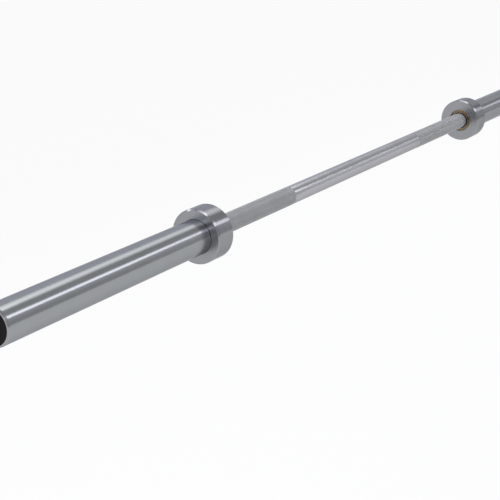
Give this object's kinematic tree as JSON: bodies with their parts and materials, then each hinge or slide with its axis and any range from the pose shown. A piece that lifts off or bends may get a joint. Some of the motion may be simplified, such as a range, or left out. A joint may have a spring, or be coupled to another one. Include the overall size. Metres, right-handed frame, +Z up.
{
  "type": "barbell",
  "caption": "Straight steel lifting bar with knurled grip bands and thick sleeves that spin on bronze bushings and carry weight plates against wide stop collars.",
  "frame": {"origin": "middle of the bar on its axis", "axes": "+X along the bar towards the right sleeve, +Z up, +Y to the back; the sleeve that is near in the picture is the left one"},
  "size_m": [1.814, 0.078, 0.078],
  "materials": {
    "shaft_steel": "ground and hard-chromed, satin, with cut knurling",
    "sleeve_steel": "turned and polished along the lathe marks, satin chrome",
    "collar_steel": "turned, with fine rings on its faces",
    "bushing_bronze": "turned sintered bronze, oiled",
    "seal_rubber": "moulded, matte",
    "washer_steel": "ground",
    "spring_steel": "phosphated dark spring steel",
    "cap_plastic": "moulded black plastic, bare face"
  },
  "bodies": {
    "bar": {"shaft": "shaft_steel", "left_inner_washer": "washer_steel", "left_outer_washer": "washer_steel", "left_wave_spring": "spring_steel", "left_retaining_ring": "spring_steel", "right_inner_washer": "washer_steel", "right_outer_washer": "washer_steel", "right_wave_spring": "spring_steel", "right_retaining_ring": "spring_steel"},
    "left_sleeve_assembly": {"left_sleeve": "sleeve_steel", "left_collar": "collar_steel", "left_inner_bushing": "bushing_bronze", "left_outer_bushing": "bushing_bronze", "left_dust_seal": "seal_rubber", "left_end_cap": "cap_plastic"},
    "right_sleeve_assembly": {"right_sleeve": "sleeve_steel", "right_collar": "collar_steel", "right_inner_bushing": "bushing_bronze", "right_outer_bushing": "bushing_bronze", "right_dust_seal": "seal_rubber", "right_end_cap": "cap_plastic"}
  },
  "joints": [
    {"name": "left_sleeve_spin", "type": "hinge", "parent": "bar", "child": "left_sleeve_assembly", "pos_m": [-0.681, 0, 0], "axis": [1, 0, 0], "continuous": true},
    {"name": "right_sleeve_spin", "type": "hinge", "parent": "bar", "child": "right_sleeve_assembly", "pos_m": [0.681, 0, 0], "axis": [1, 0, 0], "continuous": true}
  ]
}
